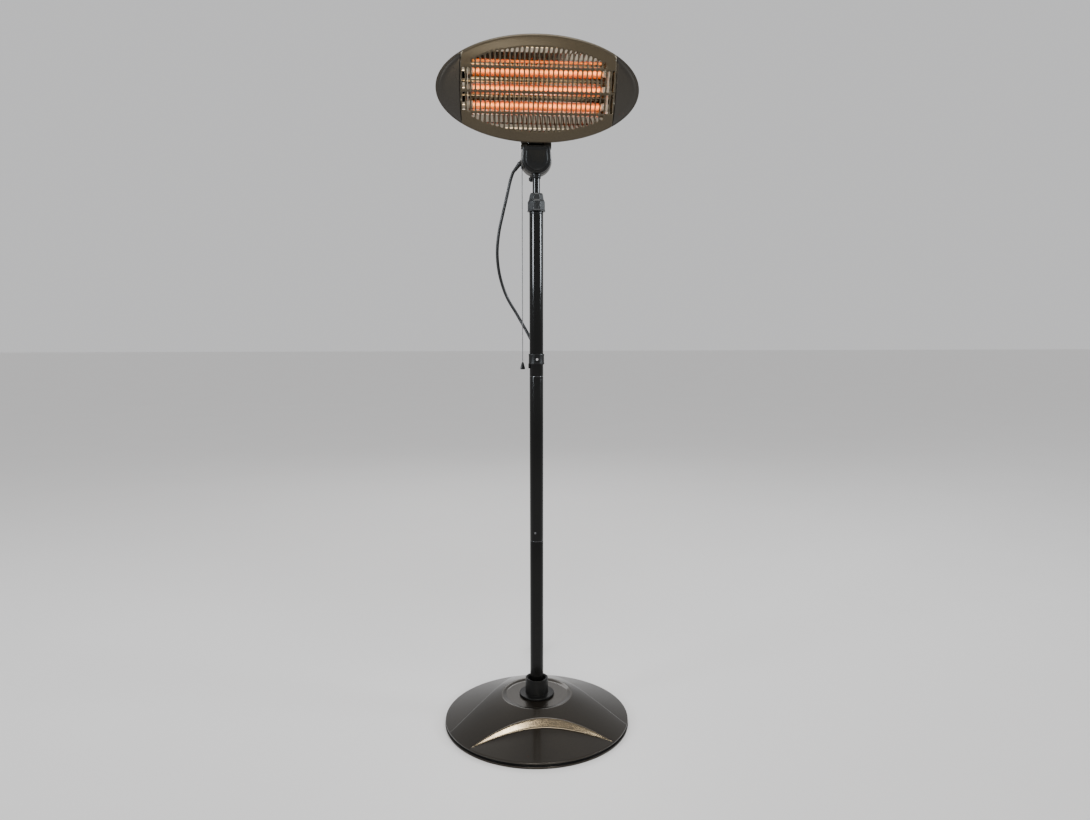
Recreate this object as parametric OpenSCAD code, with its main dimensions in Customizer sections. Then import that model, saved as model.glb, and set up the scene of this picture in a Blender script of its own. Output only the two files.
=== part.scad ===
// Electric terrace heater: an elliptical quartz head on a telescopic pole with a round, weighted base.
// Millimetres, +Z up, front towards -Y, origin at the centre of the base on the floor.
// Every part is drawn where it sits with the riser pushed in and the head tilted down at its middle stop.

/* [Base] */
// Diameter of the base
base_d = 500; // [460:10:560]
// Height of the flat plateau under the collar
plateau_z = 74; // [70:1:78]
// Diameter of the plateau
plateau_d = 162; // [150:2:176]
// Thickness of the pressed steel cover
cover_t = 1.5; // [1:0.1:2.5]

/* [Pole] */
// Outer diameter of the three pole tubes
pole_d = 36; // [34:0.5:38]
// Wall of the pole tubes
pole_wall = 1.2; // [1:0.1:1.5]
// Height of the joint between the lower and the middle tube
lower_joint_z = 505; // [450:5:550]
// Height of the joint between the middle and the upper tube
upper_joint_z = 946; // [900:1:960]
// Height of the top of the upper tube
pole_top_z = 1362; // [1350:1:1364]

/* [Riser] */
// Outer diameter of the riser tube
riser_d = 19; // [18:0.5:20]
// How far the riser pulls out of the pole
riser_travel = 300; // [200:10:300]

/* [Head] */
// Width of the head
head_w = 500; // [440:1:510]
// Height of the head across its face
head_h = 250; // [230:1:260]
// Downward tilt of the head as drawn
head_tilt = 22; // [0:1:45]
// Columns of slots in the front panel
slot_columns = 32; // [20:2:32]
// Distance from one slot to the next
slot_pitch = 11.8; // [11:0.1:11.8]
// Width of one slot
slot_w = 7.8; // [6:0.1:8.4]
// Distance between two quartz tubes
tube_pitch = 39; // [36:1:40]

/* [Neck] */
// Radius of the round lower end of the neck housing
neck_r = 37.3; // [36:0.1:41]
// Height of the tilt axis
tilt_z = 1536; // [1534:0.5:1544]
// Distance of the tilt axis behind the pole's centre line
tilt_y = 8.6; // [8:0.1:10]

/* [Cords] */
// Diameter of the mains lead
lead_d = 8; // [6:0.5:8]
// Diameter of the pull cord
pull_d = 2; // [1.5:0.1:2.5]

/* [Hidden] */
$fn = 96;

base_r = base_d / 2;
bronze = "#45403a";
black = "#1c1c1b";
gap = 0.3; // clearance between bodies that move past each other

// Base cover profile
lip_z = 11;
rim_z = 15;
rim_r = base_r - 2;
shoulder_r = plateau_d / 2 + 15;
shoulder_z = plateau_z + 3.5;
scallop_top_r = 124;  // where the upper edge of a scallop's step crosses its centre line
scallop_top_z = 67;
scallop_slope = 0.4;  // run over rise of the step
panel_slope = 0.265;  // rise over run of the shallow panel below each step
tray_h = 5;
weight_top_z = 14.5;
hub_z = 12;           // height of the raised middle of the tray

// Collar on the base
collar_d = 61;
collar_top_z = plateau_z + 48;
flange_d = 94;
flange_t = 6;
tube_foot_z = plateau_z + 10;

pole_bore_d = pole_d - 2 * pole_wall;
sleeve_d = pole_bore_d - 0.1;
pole_screw_z = lower_joint_z + 24;
pole_screw_turn = -16;

// Cable clip on the pole
clip_z = 977;
clip_h = 28;
clip_d = 41.6;
clip_screw_z = clip_z + clip_h / 2;

// Lock nut and what it squeezes
nut_z = pole_top_z + 7 + gap;
nut_h = 46;
nut_grip_h = 28;
thread_d = 30;
riser_foot_z = pole_top_z - riser_travel - 40;
riser_top_z = 1478;
bush_h = 16;

// Neck housing
neck_front_y = -20;
neck_split_y = -4;
neck_back_y = 22;
neck_centre_z = 1499;
neck_front_top_z = 1531;
neck_rear_step = 4; // the rear shell stands out past the front cover by this much
ear_r = 10;
ear_half_t = 9.4;
knuckle_half_w = 20;
neck_wall = 2.5;
bolt_r = 3;
socket_d = 25;
gland_start = [-39.5, 12, 1494];
relief_end = [-54, 12, 1475];
pull_x = -36;
pull_y = 2;
pull_top_z = 1501;
pull_steps = 74;
knob_turn = 25;
knob_z = 1455;
nut_seat_x = 34.4; // where the tilt bolt's head and nut bear, in pockets in the ears
neck_screw_places = [[-27, 1519], [27, 1519], [-24, 1476], [24, 1476]];

// Head, in its own frame: origin on the tilt axis, +Y to the back, +Z up across the face
head_front_y = -40;
head_centre_z = 12 + head_h / 2;
panel_half_w = 190;
bezel_depth = 12;
sheet_t = 1.2;
shell_t = 1.2;
tube_y = -12;
tube_half_l = 165;
holder_x = 172;
holder_t = 1.2;
quartz_d = 12;
ceramic_d = 15;
head_screw_seat_y = 34.8;
head_screw_places = [for (x = [-120, 120]) for (z = [-32, 32]) [x, head_centre_z + z]];

// Mains lead: gland, bow to the left, clip behind the pole, down the pole, over the base, floor
lead_route = [
    relief_end, [-59, 12, 1468], [-66, 12, 1447], [-74, 12, 1412], [-86, 13, 1362], [-96, 18, 1315],
    [-100, 28, 1262], [-93, 42, 1208], [-75, 54, 1155], [-46, 54, 1105], [-16, 38, 1050], [0, 28.5, 1012],
    [1, 27.3, 980], [2, 27, 910], [2, 27, 830], [2, 27, 750], [2, 27, 670], [2, 27, 590], [2, 27, 510],
    [2, 27, 430], [2, 27, 350], [2, 27, 270], [2, 28, 205], [3, 34, 150], [4, 56, 107], [8, 101, 86], [13, 160, 60.5],
    [17, 205, 42], [20, 243, 26], [23, 285, 9.5], [26, 330, 4.5], [29, 368, 8], [32, 404, 17]
];
plug_start = [34, 430, 19];
lead_steps = 3; // rings between two points of the route
plug_dir = [0.0785, 0.997, 0];

// ---- helpers ----

// A point on the Catmull-Rom curve through points p, between p[i] and p[i + 1]
function curve_point(p, i, s) =
    let (n = len(p) - 1, a = p[max(i - 1, 0)], b = p[i], c = p[min(i + 1, n)], d = p[min(i + 2, n)])
    0.5 * (2 * b + (c - a) * s + (2 * a - 5 * b + 4 * c - d) * s * s + (3 * b - a - 3 * c + d) * s * s * s);

function curve(p, steps) = [
    for (i = [0 : len(p) - 2]) for (k = [0 : steps - 1]) curve_point(p, i, k / steps),
    p[len(p) - 1]
];

function unit(v) = v / norm(v);

// A round tube of radius r along the points p, closed at both ends; no point may run along X
module swept_tube(p, r, sides = 8) {
    n = len(p);
    rings = [
        for (i = [0 : n - 1])
            let (t = unit(p[min(i + 1, n - 1)] - p[max(i - 1, 0)]))
            let (u = unit(cross(t, [1, 0, 0])), v = cross(t, u))
            for (k = [0 : sides - 1]) p[i] + r * (cos(k * 360 / sides) * u + sin(k * 360 / sides) * v)
    ];
    faces = concat(
        [[for (k = [0 : sides - 1]) k]],
        [for (i = [0 : n - 2]) for (k = [0 : sides - 1])
            let (here = i * sides, next = here + sides, l = (k + 1) % sides)
            [here + k, next + k, next + l, here + l]],
        [[for (k = [sides - 1 : -1 : 0]) (n - 1) * sides + k]]
    );
    polyhedron(points = rings, faces = faces, convexity = 10);
}

module ring(outer_d, inner_d, z0, z1) {
    translate([0, 0, z0]) difference() {
        cylinder(d = outer_d, h = z1 - z0);
        translate([0, 0, -1]) cylinder(d = inner_d, h = z1 - z0 + 2);
    }
}

// Turns a shape drawn along +Z so that it starts at p and points along direction d
module along(p, d) {
    translate(p) rotate([0, acos(unit(d)[2]), atan2(d[1], d[0])]) children();
}

// Cylinder with its axis along X, centred on x = 0
module bar_x(r, half_l) { rotate([0, 90, 0]) cylinder(r = r, h = 2 * half_l, center = true); }

// ---- base ----

// Points of a shallow arc from p to q that bulges outwards by rise
function bow(p, q, rise, steps = 6) = [
    for (i = [0 : steps])
        let (s = i / steps, d = q - p)
        p + s * d + 4 * s * (1 - s) * rise * [d[1], -d[0]] / norm(d)
];

// Everything below the cover's outer face, shrunk by inset all round
module under_cover(inset) {
    r = rim_r - inset;
    panel_r = 90;
    rim_step = 0.4;
    rotate_extrude() polygon([
        [0, lip_z - 2 * inset], [r + 1, lip_z - 2 * inset], [r + 1, lip_z + 1.5 - inset], [r, rim_z - inset],
        [panel_r, rim_z - inset + (r - panel_r) * panel_slope], [0, rim_z - inset + (r - panel_r) * panel_slope]
    ]);
    difference() {
        rotate_extrude() polygon(concat(
            [[0, lip_z], [r - rim_step, lip_z]],
            bow([r - rim_step, rim_z - inset + rim_step], [shoulder_r, shoulder_z - inset], 3),
            [[shoulder_r - 6, shoulder_z + 0.3 - inset], [plateau_d / 2, plateau_z - inset],
             [0, plateau_z - inset]]
        ));
        for (turn = [0, 120, 240]) rotate(turn) scallop_cut(inset * 1.3);
    }
}

// One scallop: a block whose leaning back face makes the sloping step in the dome
module scallop_cut(inset) {
    reach = base_d;
    translate([0, -scallop_top_r - inset, scallop_top_z]) rotate([-atan(scallop_slope), 0, 0])
        translate([-reach / 2, -reach, -100]) cube([reach, reach, 160]);
}

module base_tray() {
    color(bronze) rotate_extrude() polygon([
        [6, hub_z - 2], [44, hub_z - 2], [52, 0], [base_r, 0], [base_r, tray_h], [base_r - 2, tray_h],
        [base_r - 2, 2], [54, 2], [46, hub_z], [6, hub_z]
    ]);
}

module base_edge_ring() {
    color(black) ring(base_d - 7, base_d - 20, 2.1, lip_z);
}

module base_weight() {
    color("#8a8782") ring(2 * base_r - 60, 120, 2.1, weight_top_z);
}

module base_cover() {
    color(bronze) difference() {
        under_cover(0);
        under_cover(cover_t);
        cylinder(d = 14, h = plateau_z + 10);
    }
}

module base_spacer() { color("#77777a") ring(50, 44, hub_z, plateau_z - cover_t); }

module base_bolt() {
    color("#9a9a9e") {
        translate([0, 0, 2.6]) cylinder(r = 9, h = 5.6, $fn = 6);
        translate([0, 0, 8.2]) cylinder(r = 4.9, h = tube_foot_z + 32 - 8.2);
    }
}

module base_washer() { color("#a6a6aa") ring(24, 10.2, 8.3, hub_z - 2.1); }

module base_collar() {
    color(black) difference() {
        union() {
            translate([0, 0, plateau_z]) cylinder(d = flange_d, h = flange_t - 1.5);
            translate([0, 0, plateau_z + flange_t - 1.5]) cylinder(d1 = flange_d, d2 = flange_d - 3, h = 1.5);
            translate([0, 0, plateau_z]) cylinder(d = collar_d, h = collar_top_z - plateau_z - 1.5);
            translate([0, 0, collar_top_z - 1.5]) cylinder(d1 = collar_d, d2 = collar_d - 3, h = 1.5);
        }
        translate([0, 0, plateau_z - 1]) cylinder(d = 10.4, h = 20);
        translate([0, 0, tube_foot_z]) cylinder(d = pole_d + 0.4, h = 60);
        translate([0, 0, collar_top_z - 10]) cylinder(d = pole_d + 8, h = 20);
    }
}

module pole_insert() { color("#8c8c90") ring(sleeve_d, 10, tube_foot_z, tube_foot_z + 36); }

// ---- pole ----

module pole_tube(z0, z1) { color(black) ring(pole_d, pole_bore_d, z0, z1); }

module lower_tube() { pole_tube(tube_foot_z, lower_joint_z - 0.6); }

module middle_tube() {
    difference() {
        pole_tube(lower_joint_z + 0.6, upper_joint_z - 0.6);
        color(black) translate([0, 0, pole_screw_z]) rotate([90, 0, pole_screw_turn]) cylinder(r = 2.2, h = 40);
    }
}

module upper_tube() {
    difference() {
        pole_tube(upper_joint_z + 0.6, pole_top_z);
        color(black) translate([0, 0, clip_screw_z]) rotate([90, 0, 0]) cylinder(r = 2.2, h = 40);
    }
}

// Inner sleeve with a thin bead that shows as a bright line between two tubes
module joint_sleeve(z, below, above) {
    color("#6e6e72") {
        ring(sleeve_d, sleeve_d - 4, z - below, z + above);
        ring(pole_d - 1, sleeve_d - 1, z - 0.5, z + 0.5);
    }
}

module lower_joint_sleeve() {
    difference() {
        joint_sleeve(lower_joint_z, 40, 42);
        translate([0, 0, pole_screw_z]) rotate([90, 0, pole_screw_turn]) cylinder(r = 1.9, h = 40);
    }
}

module upper_joint_sleeve() {
    difference() {
        joint_sleeve(upper_joint_z, 40, 64);
        translate([0, 0, clip_screw_z]) rotate([90, 0, 0]) cylinder(r = 1.9, h = 40);
    }
}

module screw(head_r, head_h, shank_r, shank_l) {
    translate([0, 0, -shank_l]) cylinder(r = shank_r, h = shank_l);
    difference() {
        cylinder(r1 = head_r, r2 = head_r * 0.8, h = head_h);
        for (turn = [0, 90]) rotate(turn) translate([-head_r * 0.6, -0.4, head_h * 0.5])
            cube([head_r * 1.2, 0.8, head_h]);
    }
}

module pole_screws() {
    color("#2c2c2e") translate([0, 0, pole_screw_z]) rotate([90, 0, pole_screw_turn])
        translate([0, 0, pole_d / 2 + 0.05]) screw(3.4, 1.8, 1.85, 4);
}

module cable_clip() {
    rear_hook_y = 27.3;
    color("#303032") difference() {
        union() {
            translate([0, 0, clip_z]) cylinder(d1 = clip_d - 1, d2 = clip_d, h = 2);
            translate([0, 0, clip_z + 2]) cylinder(d = clip_d, h = clip_h - 4);
            translate([0, 0, clip_z + clip_h - 2]) cylinder(d1 = clip_d, d2 = clip_d - 1, h = 2);
            translate([-21.5, -5, clip_z - 10]) cube([5, 6, 12]);
            translate([1, rear_hook_y, clip_z + 6]) cylinder(r = 7.8, h = 16);
        }
        translate([0, 0, clip_z - 12]) cylinder(d = pole_d + 0.3, h = clip_h + 20);
        translate([1, rear_hook_y, clip_z + 5]) cylinder(r = 5.4, h = 18);
        translate([-1.5, rear_hook_y + 3, clip_z + 5]) cube([5, 6, 18]);
        translate([0, 0, clip_screw_z]) rotate([90, 0, 0]) cylinder(r = 2.3, h = 40);
        translate([0, -clip_d / 2 + 1, clip_screw_z]) rotate([90, 0, 0]) cylinder(r = 5, h = 5);
    }
}

module cable_clip_screw() {
    color("#b9b9bb") translate([0, 0, clip_screw_z]) rotate([90, 0, 0])
        translate([0, 0, clip_d / 2 - 0.9]) screw(4, 2.2, 1.85, 6);
}

// ---- height lock ----

module lock_ferrule() {
    color(black) difference() {
        union() {
            translate([0, 0, pole_top_z - 22]) cylinder(d = sleeve_d, h = 22);
            translate([0, 0, pole_top_z]) cylinder(d = pole_d, h = 7);
            translate([0, 0, pole_top_z + 7]) cylinder(d = thread_d, h = 22);
        }
        translate([0, 0, pole_top_z - 30]) cylinder(d = riser_d + 1, h = 80);
    }
}

// Split ring that the nut's inner cone squeezes onto the riser
module lock_collet() {
    z0 = pole_top_z + 29;
    color("#3a3a3c") difference() {
        translate([0, 0, z0]) cylinder(d1 = 29, d2 = 24.4, h = 11);
        translate([0, 0, z0 - 1]) cylinder(r = riser_d / 2 + 0.08, h = 13);
        translate([-1, 0, z0 - 1]) cube([2, 20, 13]);
    }
}

module height_lock_nut() {
    cone_z = nut_z + 23;
    color("#4c4d50") rotate(22.5) difference() {
        union() {
            translate([0, 0, nut_z]) cylinder(r1 = 24.6, r2 = 23.4, h = 3.5, $fn = 8);
            translate([0, 0, nut_z + 3.5]) cylinder(r = 23.4, h = nut_grip_h - 5.5, $fn = 8);
            translate([0, 0, nut_z + nut_grip_h - 2]) cylinder(r1 = 23.4, r2 = 20.8, h = 2, $fn = 8);
            translate([0, 0, nut_z + nut_grip_h])
                cylinder(r1 = 20.4, r2 = 18, h = nut_h - nut_grip_h - 3, $fn = 8);
            translate([0, 0, nut_z + nut_h - 3]) cylinder(r1 = 18, r2 = 15.5, h = 3, $fn = 8);
        }
        translate([0, 0, nut_z - 1]) cylinder(r = thread_d / 2 + gap, h = 24);
        translate([0, 0, cone_z - 0.01]) cylinder(r1 = thread_d / 2 + gap, r2 = 12.4, h = 12);
        translate([0, 0, cone_z]) cylinder(r = riser_d / 2 + 0.6, h = 30);
    }
}

// ---- riser and neck ----

module riser_tube() { color(black) ring(riser_d, riser_d - 2.4, riser_foot_z, riser_top_z); }

module riser_bush() {
    color("#3a3a3c") ring(pole_bore_d - 1.2, riser_d, riser_foot_z, riser_foot_z + bush_h);
}

module neck_socket() {
    color(black) difference() {
        union() {
            translate([0, 0, 1452]) cylinder(d1 = socket_d - 2.5, d2 = socket_d - 1, h = 3);
            translate([0, 0, 1455]) cylinder(d = socket_d - 2, h = 3);
            translate([0, 0, 1458]) cylinder(d = socket_d, h = 24);
        }
        translate([0, 0, 1450]) cylinder(d = riser_d, h = 29);
        translate([0, 0, 1470]) cylinder(d = riser_d - 5, h = 20);
        rotate(knob_turn) translate([0, 0, knob_z]) rotate([-90, 0, 0]) cylinder(r = 2.3, h = 30);
    }
}

// Front outline of the neck: a half round below, sides that narrow slightly towards the top
function neck_outline(r, top_z) = concat(
    [[r - 2, top_z]],
    [for (a = [0 : -7.5 : -180]) [r * cos(a), neck_centre_z + r * sin(a)]],
    [[2 - r, top_z]]
);

module neck_block(r, top_z, y0, y1) {
    translate([0, y1, 0]) rotate([90, 0, 0]) linear_extrude(y1 - y0) polygon(neck_outline(r, top_z));
}

module socket_hole() { translate([0, 0, 1440]) cylinder(d = socket_d + 0.1, h = 42); }

module neck_rear_shell() {
    r = neck_r + neck_rear_step;
    color(black) difference() {
        union() {
            neck_block(r, neck_front_top_z, neck_split_y, neck_back_y);
            for (side = [-1, 1]) translate([side * (knuckle_half_w + gap + ear_half_t), 0, 0]) ear();
        }
        neck_block(r - neck_wall, neck_front_top_z - neck_wall, neck_split_y - 1, neck_back_y - neck_wall);
        socket_hole();
        translate([0, tilt_y, tilt_z]) bar_x(bolt_r + 0.05, 60);
        translate([0, tilt_y, tilt_z]) bar_x(ear_r + 1.2, knuckle_half_w + gap);
        for (side = [-1, 1]) translate([side * (nut_seat_x + 9.9), tilt_y, tilt_z]) bar_x(6.4, 10);
        along(gland_start, relief_end - gland_start) {
            translate([0, 0, -8]) cylinder(r = 4.6, h = 14);
            translate([0, 0, 1.9]) cylinder(r = 6.3, h = 14);
        }
        translate([pull_x, pull_y, 1470]) cylinder(r = 2.6, h = 26);
        translate([pull_x, pull_y, 1460]) cylinder(r = 3.6, h = 19.2);
        rotate(knob_turn) translate([0, 12, knob_z]) rotate([-90, 0, 0]) cylinder(r = 7.4, h = 30);
        for (p = neck_screw_places) translate([p[0], 15, p[1]]) rotate([-90, 0, 0]) cylinder(r = 1.6, h = 10);
    }
}

// One of the two ears that carry the tilt bolt
module ear() {
    translate([0, tilt_y, tilt_z]) bar_x(ear_r, ear_half_t);
    translate([-ear_half_t, tilt_y - ear_r, neck_front_top_z - 1])
        cube([2 * ear_half_t, 2 * ear_r, tilt_z - neck_front_top_z + 1]);
}

module neck_front_cover() {
    color(black) difference() {
        union() {
            neck_block(neck_r - 1.2, neck_front_top_z - 1, neck_front_y, neck_front_y + 2);
            neck_block(neck_r, neck_front_top_z, neck_front_y + 1.2, neck_split_y - 0.1);
            difference() {
                neck_block(neck_r - 8, neck_front_top_z - 4, neck_front_y - 0.7, neck_front_y + 1);
                neck_block(neck_r - 10, neck_front_top_z - 3.9, neck_front_y - 2, neck_front_y + 2);
            }
        }
        neck_block(neck_r - neck_wall, neck_front_top_z - neck_wall, neck_front_y + neck_wall, neck_split_y + 1);
        socket_hole();
    }
}

module neck_screws() {
    color("#9a9a9e") for (p = neck_screw_places)
        translate([p[0], neck_back_y, p[1]]) rotate([-90, 0, 0]) screw(3.2, 1.6, 1.5, 2.2);
}

// Thumb screw that clamps the socket on the riser
module neck_knob() {
    color(black) rotate(knob_turn) translate([0, 0, knob_z]) rotate([-90, 0, 0]) {
        translate([0, 0, riser_d / 2 + 0.3]) cylinder(r = 2.25, h = 14);
        translate([0, 0, 17]) cylinder(r1 = 5.5, r2 = 7, h = 3);
        difference() {
            translate([0, 0, 20]) cylinder(r = 7, h = 8);
            for (turn = [0 : 60 : 300]) rotate(turn) translate([8, 0, 19]) cylinder(r = 1.8, h = 10);
        }
    }
}

module tilt_bolt() {
    color("#8c8c90") translate([0, tilt_y, tilt_z]) {
        bar_x(bolt_r, 38.7);
        translate([nut_seat_x, 0, 0]) rotate([0, 90, 0]) cylinder(r = 5.5, h = 4, $fn = 6);
    }
}

module tilt_nut() {
    color("#8c8c90") translate([-nut_seat_x, tilt_y, tilt_z]) rotate([0, -90, 0]) difference() {
        cylinder(r = 5.8, h = 4.5, $fn = 6);
        translate([0, 0, -1]) cylinder(r = bolt_r, h = 8);
    }
}

// Flange, tapered bend relief and inner stub of the mains lead's entry
module cord_gland() {
    l = norm(relief_end - gland_start);
    color(black) along(gland_start, relief_end - gland_start) difference() {
        union() {
            translate([0, 0, -6]) cylinder(r = 4.5, h = 8);
            translate([0, 0, 2]) cylinder(r = 6.1, h = 2.5);
            translate([0, 0, 4.5]) cylinder(r1 = 5.8, r2 = 4.7, h = l - 5.5);
        }
        translate([0, 0, -8]) cylinder(d = 3, h = l + 7.9);
    }
}

module pull_switch() {
    color("#e4e0d6") difference() {
        translate([-36.5, -3, 1496]) cube([15, 9.5, 10]);
        translate([pull_x, pull_y, 1490]) cylinder(r = 2.2, h = 14);
    }
}

module terminal_block() {
    color("#efece2") difference() {
        translate([-8, 6, 1492]) cube([34, 10, 16]);
        for (k = [0 : 2]) translate([-2 + 11 * k, 11, 1480]) cylinder(r = 2, h = 40);
    }
}

module pull_eyelet() {
    color("#c9c9cb") translate([pull_x, pull_y, 0]) {
        difference() {
            union() {
                translate([0, 0, 1477]) cylinder(r = 3.4, h = 2);
                translate([0, 0, 1479]) cylinder(r = 2.5, h = 8);
            }
            translate([0, 0, 1470]) cylinder(r = pull_d / 2 + gap, h = 30);
        }
    }
}

module pull_cord() {
    color("#b8b8b8") swept_tube([for (k = [0 : pull_steps]) [pull_x, pull_y, pull_top_z - 7 * k]], pull_d / 2);
}

module pull_knob() {
    color(black) translate([pull_x, pull_y, 0]) {
        translate([0, 0, 964]) cylinder(r1 = 5.6, r2 = 6.35, h = 1.2);
        translate([0, 0, 965.2]) cylinder(r = 6.35, h = 3);
        translate([0, 0, 968.2]) cylinder(r1 = 6.35, r2 = 2.2, h = 14.8);
    }
}

// ---- head ----

module in_head() { translate([0, tilt_y, tilt_z]) rotate([head_tilt, 0, 0]) children(); }

function ellipse(a, b, steps = 96) =
    [for (i = [0 : steps - 1]) [a * cos(i * 360 / steps), b * sin(i * 360 / steps)]];

// Elliptical slab of the head's outline, shrunk by inset, between depths y0 and y1
module slab(inset, y0, y1) {
    translate([0, y1, head_centre_z]) rotate([90, 0, 0]) linear_extrude(y1 - y0)
        polygon(ellipse(head_w / 2 - inset, head_h / 2 - inset));
}

// Shallow tray that makes the bezel: a face and a rim with a bevelled edge
module bezel(front_y) {
    difference() {
        union() {
            slab(3, front_y, front_y + 1.6);
            slab(1.2, front_y + 0.8, front_y + 3);
            slab(0, front_y + 2, head_front_y + bezel_depth);
        }
        slab(5, front_y + sheet_t, head_front_y + bezel_depth + 1);
        slab(2, front_y + 4.5, head_front_y + bezel_depth + 1);
    }
}

// Slot of width slot_w with round ends, from z0 to z1
module slot(x, z0, z1) {
    r = slot_w / 2;
    polygon(concat(
        [for (a = [180 : 30 : 360]) [x + r * cos(a), z0 + r + r * sin(a)]],
        [for (a = [0 : 30 : 180]) [x + r * cos(a), z1 - r + r * sin(a)]]
    ));
}

// The slots fill an ellipse that three cross bars divide into four rows
module slot_field() {
    field_a = 216;
    field_b = 97;
    rows = [[-field_b, -56.5], [-51.5, -7], [-2, 47.5], [52.5, field_b]];
    for (i = [0 : slot_columns - 1]) {
        x = (i - (slot_columns - 1) / 2) * slot_pitch;
        half = field_b * sqrt(1 - pow(x / field_a, 2));
        for (row = rows) {
            z0 = max(row[0], -half);
            z1 = min(row[1], half);
            if (z1 - z0 > slot_w) slot(x, z0, z1);
        }
    }
}

module front_panel() {
    color(bronze) in_head() difference() {
        intersection() {
            bezel(head_front_y);
            translate([-panel_half_w, head_front_y - 1, 0]) cube([2 * panel_half_w, 60, 300]);
        }
        translate([0, head_front_y + 10, head_centre_z]) rotate([90, 0, 0]) linear_extrude(20) slot_field();
    }
}

module end_cap(side) {
    color(bronze) in_head() intersection() {
        bezel(head_front_y + 2);
        translate([side > 0 ? panel_half_w + gap : -panel_half_w - gap - 80, head_front_y - 1, 0])
            cube([80, 60, 300]);
    }
}

module end_cap_left() { end_cap(-1); }
module end_cap_right() { end_cap(1); }

// Domed outer form of the back shell, shrunk by inset
module back_form(inset) {
    hull() {
        slab(inset + 0.6, head_front_y + bezel_depth, head_front_y + bezel_depth + 2);
        slab(inset + 3, -14, -13);
        slab(inset + 12, 2, 3);
        slab(inset + 34, 22 - inset, 23 - inset);
        slab(inset + 58, 34 - inset, 35 - inset);
        slab(inset + 84, 37 - inset, 38 - inset);
    }
}

module back_shell() {
    color(bronze) in_head() difference() {
        back_form(0);
        difference() {
            back_form(shell_t);
            for (p = head_screw_places)
                translate([p[0], 12, p[1]]) rotate([-90, 0, 0]) cylinder(r = 6, h = 40);
        }
        slab(2.2, head_front_y + bezel_depth - 1, head_front_y + bezel_depth + 1);
        translate([-18.5, -9, 0]) cube([37, 18, 40]);
        for (p = head_screw_places) {
            translate([p[0], 11, p[1]]) rotate([-90, 0, 0]) cylinder(r = 2, h = 40);
            translate([p[0], head_screw_seat_y, p[1]]) rotate([-90, 0, 0]) cylinder(r = 4.3, h = 20);
        }
        for (x = [-66 : 12 : 66]) translate([x - 2, 30, head_centre_z + 22]) cube([4, 20, 24]);
    }
}

// Knuckle on the tilt bolt, its web, and the plate inside the head that carries everything
module head_bracket() {
    web_half = 17.5;
    color("#2a2a2b") in_head() difference() {
        union() {
            bar_x(ear_r, knuckle_half_w);
            translate([-web_half, -7, 0]) cube([2 * web_half, 14, 38]);
            translate([-52, -7, 35]) cube([104, 14, 3]);
            for (x = [-44, 44]) translate([x - 8, 4, 35]) cube([16, 3, 40]);
        }
        bar_x(bolt_r + 0.05, 40);
        bar_x(bolt_r + 4, knuckle_half_w - 6);
    }
}

// Cross-section of the reflector: three round troughs and two wings, one sheet thick
function reflector_line() = concat(
    [[head_front_y + 8, -98]],
    [for (k = [-1 : 1]) for (a = [-60 : 15 : 60])
        [tube_y - 6 + 22.5 * cos(a), k * tube_pitch + 22.5 * sin(a)]],
    [[head_front_y + 8, 98]]
);

module reflector() {
    line = reflector_line();
    n = len(line);
    back = [for (i = [n - 1 : -1 : 0]) line[i] + [1, line[i][1] * 0.012]];
    color("#d9d2c4") in_head() intersection() {
        translate([0, 0, head_centre_z]) rotate([90, 0, 90]) linear_extrude(2 * panel_half_w - 6, center = true)
            polygon(concat(line, back));
        slab(8, head_front_y + 3, 30);
    }
}

module heat_shield() {
    color("#b8b8ba") in_head() translate([-110, 14, head_centre_z - 45]) cube([220, 1, 90]);
}

module tube_holder(side) {
    color("#c8c4ba") in_head() difference() {
        intersection() {
            translate([side * holder_x - holder_t / 2, head_front_y + 6, head_centre_z - 68])
                cube([holder_t, 32, 136]);
            slab(9, head_front_y + 3, 30);
        }
        for (k = [-1 : 1])
            translate([0, tube_y, head_centre_z + k * tube_pitch]) bar_x(ceramic_d / 2 + 0.05, 200);
        translate([0, -gap, head_centre_z]) rotate([90, 0, 90]) linear_extrude(400, center = true)
            polygon(concat(reflector_line(), [[40, 98], [40, -98]]));
    }
}

module tube_holder_left() { tube_holder(-1); }
module tube_holder_right() { tube_holder(1); }

module quartz_tube(k) {
    color("#ffb08a", 0.6) in_head() translate([0, tube_y, head_centre_z + k * tube_pitch]) difference() {
        bar_x(quartz_d / 2, tube_half_l);
        bar_x(quartz_d / 2 - 1, tube_half_l + 1);
    }
}

module heating_coil(k) {
    color("#ff7a22") in_head() translate([0, tube_y, head_centre_z + k * tube_pitch]) bar_x(3, tube_half_l - 2);
}

module quartz_tube_1() { quartz_tube(1); }
module quartz_tube_2() { quartz_tube(0); }
module quartz_tube_3() { quartz_tube(-1); }
module heating_coil_1() { heating_coil(1); }
module heating_coil_2() { heating_coil(0); }
module heating_coil_3() { heating_coil(-1); }

// Six stepped ceramic caps that hold the tubes in the two holders
module ceramic_ends() {
    color("#efe8da") in_head() for (k = [-1 : 1]) for (side = [-1, 1])
        translate([side * 160, tube_y, head_centre_z + k * tube_pitch]) rotate([0, side * 90, 0]) difference() {
            union() {
                cylinder(d = ceramic_d, h = 20);
                cylinder(d = ceramic_d + 3, h = 10);
            }
            translate([0, 0, -1]) cylinder(d = quartz_d, h = 6);
        }
}

module head_screws() {
    color("#9a9a9e") in_head() for (p = head_screw_places)
        translate([p[0], head_screw_seat_y, p[1]]) rotate([-90, 0, 0]) screw(4, 2, 1.9, 20);
}

// ---- mains lead ----

module power_cord() {
    color(black) swept_tube(curve(concat(lead_route, [plug_start]), lead_steps), lead_d / 2);
}

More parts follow.
